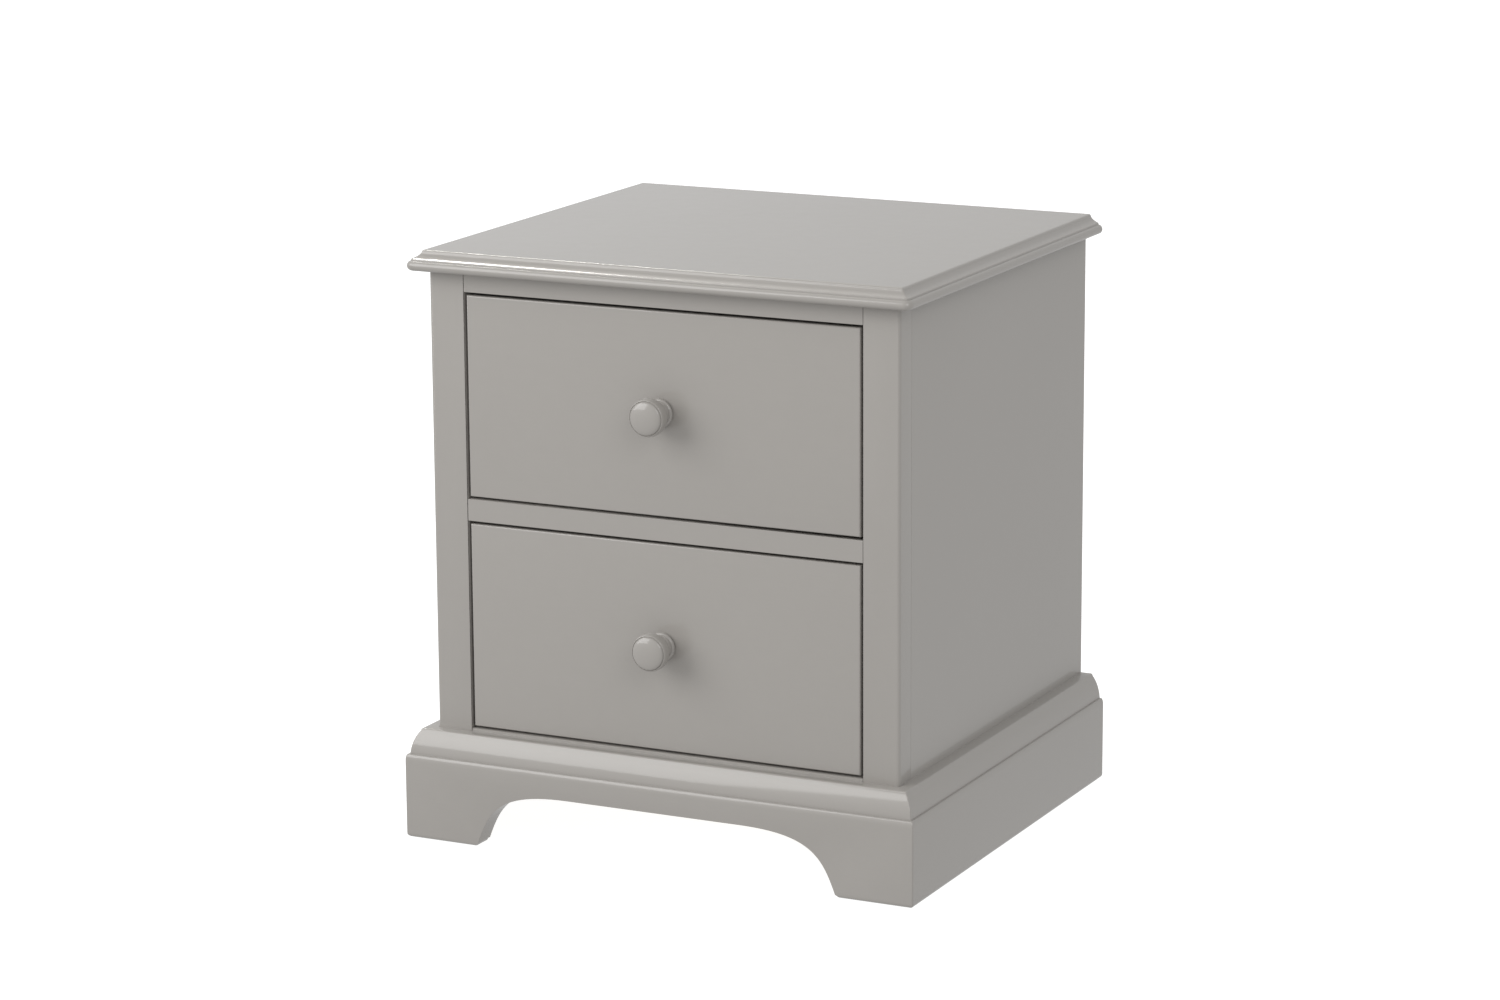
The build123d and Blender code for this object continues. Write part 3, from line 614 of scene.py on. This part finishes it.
def plinth_section(low, high):
    """The plinth board's section, from the foot of its inner face outwards and up."""
    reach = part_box("plinth_right")[1].x - side_x
    flat_edge = plinth_flat - plinth_flat_radius
    round_radii = (plinth_flat_radius, plinth_flat_radius)
    ovolo_top = (plinth_flat, high - plinth_flat_radius)
    ovolo_end = (plinth_flat + ovolo_width, high - ovolo_height)
    ledge_in = (ovolo_end[0], ovolo_end[1] - ledge_drop)
    ledge_out = (ovolo_end[0] + ledge_width, ledge_in[1])
    ledge_radii = (reach - ledge_out[0], ledge_round_height)
    foot_radii = (plinth_foot_radius, plinth_foot_radius)
    points = [(0, low), (reach - plinth_foot_radius, low)]
    points += arc((reach - plinth_foot_radius, low + plinth_foot_radius), foot_radii, -90, 0, 4)
    points.append((reach, ledge_out[1] - ledge_round_height))
    points += arc((ledge_out[0], ledge_out[1] - ledge_round_height), ledge_radii, 0, 90, arc_steps)
    points += [ledge_in, ovolo_end]
    points += oval(ovolo_end, ovolo_top, ovolo_low_angle, ovolo_high_angle)
    points += arc((flat_edge, ovolo_top[1]), round_radii, 0, 90, 4)
    points.append((0, high))
    return points


def cut_along(piece, place, normal):
    """In edit mode, cuts the piece along a plane, closes the cut and drops what is on the normal's side."""
    bpy.ops.mesh.select_all(action="SELECT")
    bpy.ops.mesh.bisect(plane_co=place, plane_no=normal, use_fill=True, clear_outer=True)


def own_copy(piece, name):
    """A copy of a piece with its own mesh."""
    copy = piece.copy()
    copy.data = piece.data.copy()
    copy.name = name
    copy.data.name = name
    bpy.context.scene.collection.objects.link(copy)
    return copy


def arch_line(base):
    """The arch's outline in (x, z), from its left foot over to its right one."""
    board_low, board_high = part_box("plinth_front")
    crown = board_high.z - arch_crown
    half_span = board_high.x - foot_width
    shoulder = half_span - arch_shoulder
    foot = (half_span, base + arch_foot_radius)
    controls = [
        Vector((shoulder, crown)),
        Vector((shoulder + arch_shoulder_pull, crown)),
        Vector((half_span - arch_lean, base + arch_lean_height)),
        Vector(foot),
    ]
    right = []
    sweep_steps = 3 * arc_steps
    for step in range(sweep_steps + 1):
        share = step / sweep_steps
        rest = 1 - share
        weights = (rest**3, 3 * rest**2 * share, 3 * rest * share**2, share**3)
        right.append(sum((w * c for w, c in zip(weights, controls)), Vector((0, 0))))
    toe = (half_span + arch_foot_radius, base)
    right += [Vector(point) for point in bowed(foot, toe, arch_foot_bulge, 4)]
    right.append(Vector((half_span + arch_foot_radius, base - overcut)))
    left = [Vector((-point.x, point.y)) for point in reversed(right)]
    return left + right


def cut_arch(board):
    """Cuts the arch out of the front board and eases its front edge."""
    low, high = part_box("plinth_front")
    pen = Pen("arch_cutter")
    start_y = low.y - overcut
    pen.line([(x, start_y, z) for x, z in arch_line(low.z)])
    bpy.ops.mesh.select_all(action="SELECT")
    bpy.ops.mesh.edge_face_add()
    bpy.ops.mesh.extrude_region_move(TRANSFORM_OT_translate={"value": (0, high.y + overcut - start_y, 0)})
    tidy_normals()
    close_mesh()
    only(board)
    cut = board.modifiers.new("arch", "BOOLEAN")
    cut.object = pen.piece
    cut.solver = "EXACT"
    bpy.ops.object.modifier_apply(modifier=cut.name)
    bpy.data.objects.remove(pen.piece)
    crown = high.z - arch_crown
    open_mesh(board)

    def on_arch(edge):
        at_front = all(vertex.co.y < low.y + sliver for vertex in edge.verts)
        inside = all(abs(vertex.co.x) < high.x - foot_width + 1 * MM for vertex in edge.verts)
        below = all(low.z + 3 * MM < vertex.co.z < crown + 1 * MM for vertex in edge.verts)
        return at_front and inside and below

    select_edges(board, on_arch)
    bpy.ops.mesh.bevel(offset=arch_ease, segments=3, affect="EDGES", clamp_overlap=True)
    close_mesh()


def make_plinth():
    """The plinth: one moulding round the case, cut into three boards at the front mitres."""
    low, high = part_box("plinth_front")
    section = plinth_section(low.z, high.z)
    whole = moulding("plinth", section, plinth_corner_radius, plinth_least_corner, closed=True)
    fill_where(whole, lambda place: place.x > 0 and place.y > back_y - sliver)
    fill_where(whole, lambda place: place.x < 0 and place.y > back_y - sliver)
    tidy_normals()
    close_mesh()
    right_corner = (side_x, front_y, 0)
    left_corner = (-side_x, front_y, 0)
    front = own_copy(whole, "front_plinth_board")
    open_mesh(front)
    cut_along(front, right_corner, (1, 1, 0))
    cut_along(front, left_corner, (-1, 1, 0))
    close_mesh()
    cut_arch(front)
    finished(front, "plinth_front")
    for side, corner, node in ((1, right_corner, "plinth_right"), (-1, left_corner, "plinth_left")):
        board = own_copy(whole, "right_plinth_board" if side > 0 else "left_plinth_board")
        open_mesh(board)
        cut_along(board, corner, (-side, -1, 0))
        cut_along(board, (0, 0, 0), (-side, 0, 0))
        close_mesh()
        finished(board, node)
    bpy.data.objects.remove(whole)


# Boards


def board_block(name, low, high):
    """A plain board between two corners, to be shaped."""
    bpy.ops.object.select_all(action="DESELECT")
    bpy.ops.mesh.primitive_cube_add(size=1, location=(low + high) / 2, scale=high - low)
    piece = bpy.context.object
    piece.name = name
    piece.data.name = name
    bpy.ops.object.transform_apply(location=True, rotation=True, scale=True)
    return piece


def make_drawer_front(drawer):
    """A drawer's front, round along its four front edges and barely eased behind."""
    node = f"{drawer}_drawer_front"
    low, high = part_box(node)
    piece = board_block(f"{drawer}_front_board", low, high)
    open_mesh(piece)
    select_edges(piece, lambda edge: all(vertex.co.y < low.y + sliver for vertex in edge.verts))
    bpy.ops.mesh.bevel(offset=front_edge_radius, segments=6, affect="EDGES")
    select_edges(piece, lambda edge: all(vertex.co.y > high.y - sliver for vertex in edge.verts))
    bpy.ops.mesh.bevel(offset=front_back_ease, segments=2, affect="EDGES")
    close_mesh()
    return finished(piece, node, 50)


def on_front_corner(edge):
    """Whether an edge lies on the case's upright front corner."""
    return all(abs(vertex.co.x) > side_x - sliver and vertex.co.y < front_y + sliver for vertex in edge.verts)


def eased_board(node, ease, shortest=20 * MM):
    """A board as it leaves the bench: the node's joints and bores, with its long sharp arrises sanded."""
    only(nodes[node])
    bpy.ops.object.duplicate()
    piece = bpy.context.object
    piece.name = node + "_board"
    piece.data.name = piece.name
    del piece["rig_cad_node"]
    piece.parent = None
    open_mesh(piece)
    tidy_normals()
    bpy.ops.mesh.customdata_custom_splitnormals_clear()
    bpy.ops.mesh.dissolve_limited(angle_limit=math.radians(0.4))

    def sharp_and_long(edge):
        if not edge.is_manifold or edge.calc_length() < shortest:
            return False
        return edge.is_convex and edge.calc_face_angle() > math.radians(60)

    if "post" in node:
        select_edges(piece, on_front_corner)
        bpy.ops.mesh.bevel(offset=post_corner_radius, segments=5, affect="EDGES", clamp_overlap=False)
    select_edges(piece, sharp_and_long)
    bpy.ops.mesh.bevel(offset=ease, segments=2, affect="EDGES", clamp_overlap=False)
    close_mesh()
    return finished(piece, node, 40)


# Knobs


def knob_outline():
    """Half of the knob's section: distance from its axis, and distance forward from the drawer's front."""
    bead_x = knob_collar_radius - knob_bead_radius
    bead_radii = (knob_bead_radius, knob_bead_radius)
    neck_foot = (knob_neck_radius + knob_neck_flare, 2 * knob_bead_radius)
    neck_head = (knob_neck_radius + knob_head_flare, knob_rim_start)
    rim_back = (knob_radius, knob_rim_start + knob_rim_back)
    rim_turn = knob_rim_end - knob_rim_round
    ring_outer = knob_ring_radius + knob_ring_width
    points = [(0, 0), (bead_x, 0)]
    points += arc((bead_x, knob_bead_radius), bead_radii, -90, 90, 2 * arc_steps)
    points.append(neck_foot)
    points += neck_curve(neck_foot, neck_head)
    points += arc((neck_head[0], rim_back[1]), (knob_radius - neck_head[0], knob_rim_back), -90, 0)
    points.append((knob_radius, rim_turn))
    points += arc((ring_outer, rim_turn), (knob_radius - ring_outer, knob_rim_round), 0, 90)
    points.append((knob_ring_radius + knob_ring_width / 2, knob_rim_end - knob_ring_depth))
    points.append((knob_ring_radius, knob_rim_end))
    rise = knob_projection - knob_rim_end
    points += arc((0, knob_rim_end), (knob_ring_radius, rise), 0, 90, 2 * arc_steps)[:-1]
    points.append((0, knob_projection))
    return points


def neck_curve(foot, head):
    """The neck's hollow, narrowest at its given height."""
    points = []
    steps = 2 * arc_steps
    for step in range(1, steps + 1):
        height = foot[1] + (head[1] - foot[1]) * step / steps
        end = foot if height < knob_neck_height else head
        share = (height - knob_neck_height) / (end[1] - knob_neck_height)
        points.append((knob_neck_radius + (end[0] - knob_neck_radius) * share**2, height))
    return points


def make_knob(drawer):
    """A turned knob: its outline spun about an axis through the middle of the drawer's front."""
    node = f"{drawer}_drawer_knob"
    low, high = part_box(node)
    height = (low.z + high.z) / 2
    pen = Pen(f"{drawer}_turned_knob")
    pen.line([(radius, front_y - forward, height) for radius, forward in knob_outline()])
    bpy.ops.mesh.select_all(action="SELECT")
    bpy.ops.mesh.spin(
        steps=knob_turn_steps, angle=math.radians(360), center=(0, front_y, height), axis=(0, 1, 0)
    )
    tidy_normals()
    close_mesh()
    return finished(pen.piece, node, 35)


# The room


def make_floor():
    bpy.ops.object.select_all(action="DESELECT")
    bpy.ops.mesh.primitive_plane_add(size=60, location=(0, 0, -0.1 * MM))
    floor = bpy.context.object
    floor.name = "studio_floor"
    finish = Finish("studio_floor", base_color=(0.3, 0.3, 0.3, 1), roughness=0.9)
    finish.shader.inputs["Emission Color"].default_value = (1, 1, 1, 1)
    finish.shader.inputs["Emission Strength"].default_value = FLOOR_GLOW
    floor.data.materials.append(finish.material)
    floor.visible_diffuse = False
    floor.visible_glossy = False


def softbox(name, direction, distance, size, power, tint=(1, 1, 1)):
    """A lamp as (wide, high) as size that faces the nightstand's middle from a direction."""
    lamp = bpy.data.lights.new(name, "AREA")
    lamp.shape = "RECTANGLE"
    lamp.size, lamp.size_y = size
    lamp.energy = power
    lamp.color = tint
    light = bpy.data.objects.new(name, lamp)
    way = Vector(direction).normalized()
    light.visible_camera = False
    light.location = lamp_aim + distance * way
    light.rotation_mode = "QUATERNION"
    light.rotation_quaternion = way.to_track_quat("Z", "Y")
    bpy.context.scene.collection.objects.link(light)


def make_room():
    world = bpy.data.worlds.new("studio")
    world.use_nodes = True
    sky = world.node_tree.nodes["Background"]
    sky.inputs["Color"].default_value = (1, 1, 1, 1)
    sky.inputs["Strength"].default_value = SKY_STRENGTH
    bpy.context.scene.world = world
    bpy.context.scene.view_settings.view_transform = "Standard"
    make_floor()
    softbox("key_softbox", (-0.60, -0.64, 0.47), 4.2, (3.2, 3.0), KEY_POWER)
    softbox("fill_softbox", (0.60, -0.62, 0.50), 3.2, (1.4, 1.4), FILL_POWER)
    softbox("back_softbox", (-0.49, 0.47, 0.735), 3.7, (0.8, 0.4), BACK_POWER, (1, 0.98, 0.93))


def make_camera():
    lens = bpy.data.cameras.new("camera")
    lens.lens = camera_lens
    lens.sensor_width = 36
    camera = bpy.data.objects.new("camera", lens)
    camera.location = camera_place
    camera.rotation_mode = "QUATERNION"
    turn = Quaternion((0, 0, 1), math.radians(camera_turn))
    tilt = Quaternion((1, 0, 0), math.radians(90 - camera_dip))
    roll = Quaternion((0, 0, 1), math.radians(camera_roll))
    camera.rotation_quaternion = turn @ tilt @ roll
    bpy.context.scene.collection.objects.link(camera)
    bpy.context.scene.camera = camera


LACQUERED_BOARDS = [
    "left_side_panel",
    "right_side_panel",
    "left_front_post",
    "right_front_post",
    "front_top_rail",
    "front_middle_rail",
    "front_bottom_rail",
]
PLAIN_BOARDS = ["back_top_rail", "bottom_panel", "corner_blocks"]
for drawer in DRAWERS:
    PLAIN_BOARDS += [f"{drawer}_{side}_slide_spacer" for side in ("left", "right")]
    box_boards = ("box_front", "left_side", "right_side", "back", "bottom")
    PLAIN_BOARDS += [f"{drawer}_drawer_{board}" for board in box_boards]


# Making everything

make_camera()
make_room()
for node, piece in nodes.items():
    for slot in piece.material_slots:
        slot.material = finish_for(node)
make_top()
make_plinth()
for drawer in DRAWERS:
    make_drawer_front(drawer)
    make_knob(drawer)
for board in LACQUERED_BOARDS:
    eased_board(board, painted_ease)
for board in PLAIN_BOARDS:
    eased_board(board, bare_ease)
